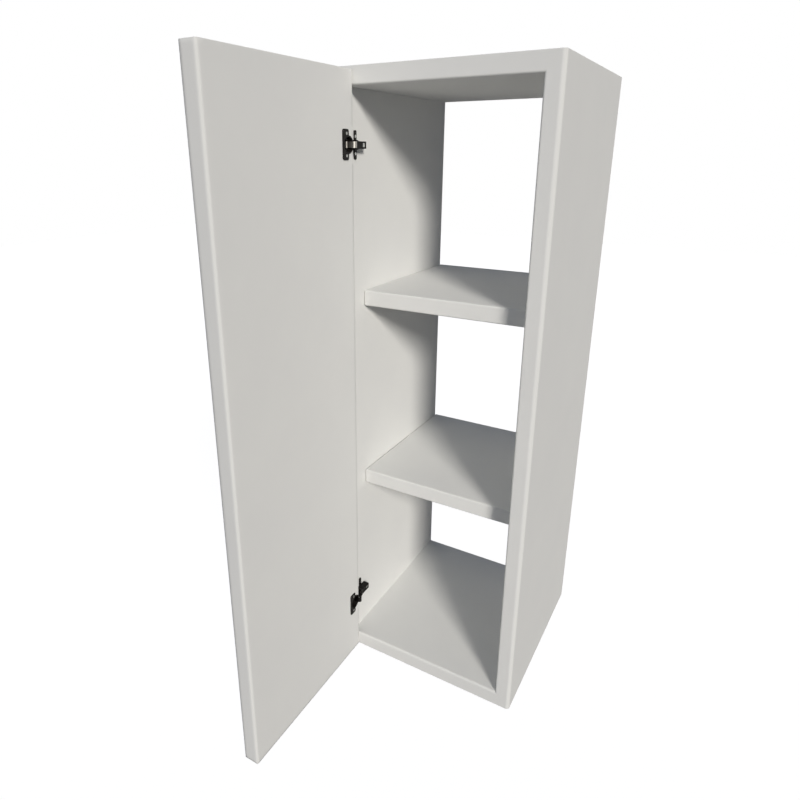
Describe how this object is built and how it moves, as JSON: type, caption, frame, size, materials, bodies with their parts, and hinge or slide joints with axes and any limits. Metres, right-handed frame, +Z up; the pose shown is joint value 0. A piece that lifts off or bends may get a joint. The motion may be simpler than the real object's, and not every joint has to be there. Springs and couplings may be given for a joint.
{
  "type": "wall cabinet",
  "caption": "Tall narrow wall cabinet, open at the back, with loose shelves and a plain slab door hung on concealed hinges.",
  "frame": {"origin": "on the wall plane, midway between the entry holes of the two keyhole plates", "axes": "+X to the cabinet's right as seen from the front, +Y from the front towards the wall, +Z up"},
  "size_m": [0.3, 0.562, 0.9],
  "materials": {
    "off_white_lacquer": "fibreboard sprayed with satin off-white lacquer",
    "beech": "plain fluted beech",
    "zinc_die_casting": "plain zinc die casting",
    "zinc_plated_steel": "bright zinc plate",
    "nickel_plated_steel": "bright nickel plate",
    "spring_steel": "oiled spring steel",
    "dark_steel": "dark bronze finish, satin",
    "dark_plastic": "dark brown-black, satin"
  },
  "bodies": {
    "carcass": {"left_side": "off_white_lacquer", "right_side": "off_white_lacquer", "top_panel": "off_white_lacquer", "bottom_panel": "off_white_lacquer", "upper_shelf": "off_white_lacquer", "lower_shelf": "off_white_lacquer", "upper_shelf_pins": "nickel_plated_steel", "lower_shelf_pins": "nickel_plated_steel", "carcass_dowels": "beech", "cam_housings": "zinc_die_casting", "cam_bolts": "zinc_plated_steel", "left_hanger_plate": "zinc_plated_steel", "right_hanger_plate": "zinc_plated_steel", "hanger_screws": "zinc_plated_steel", "upper_mounting_plate": "dark_steel", "lower_mounting_plate": "dark_steel", "mounting_plate_screws": "zinc_plated_steel", "upper_hinge_arm": "nickel_plated_steel", "lower_hinge_arm": "nickel_plated_steel", "upper_arm_cover": "dark_plastic", "lower_arm_cover": "dark_plastic", "arm_fixing_screws": "zinc_plated_steel", "arm_adjusting_screws": "zinc_plated_steel"},
    "door": {"door_panel": "off_white_lacquer", "upper_hinge_cup": "dark_steel", "lower_hinge_cup": "dark_steel", "hinge_cup_screws": "zinc_plated_steel", "hinge_pivot_pins": "spring_steel", "upper_closing_spring": "spring_steel", "lower_closing_spring": "spring_steel"}
  },
  "joints": [
    {"name": "door_swing", "type": "hinge", "parent": "carcass", "child": "door", "pos_m": [-0.121, -0.309, 0], "axis": [0, 0, 1], "range_deg": [0, 90]}
  ]
}
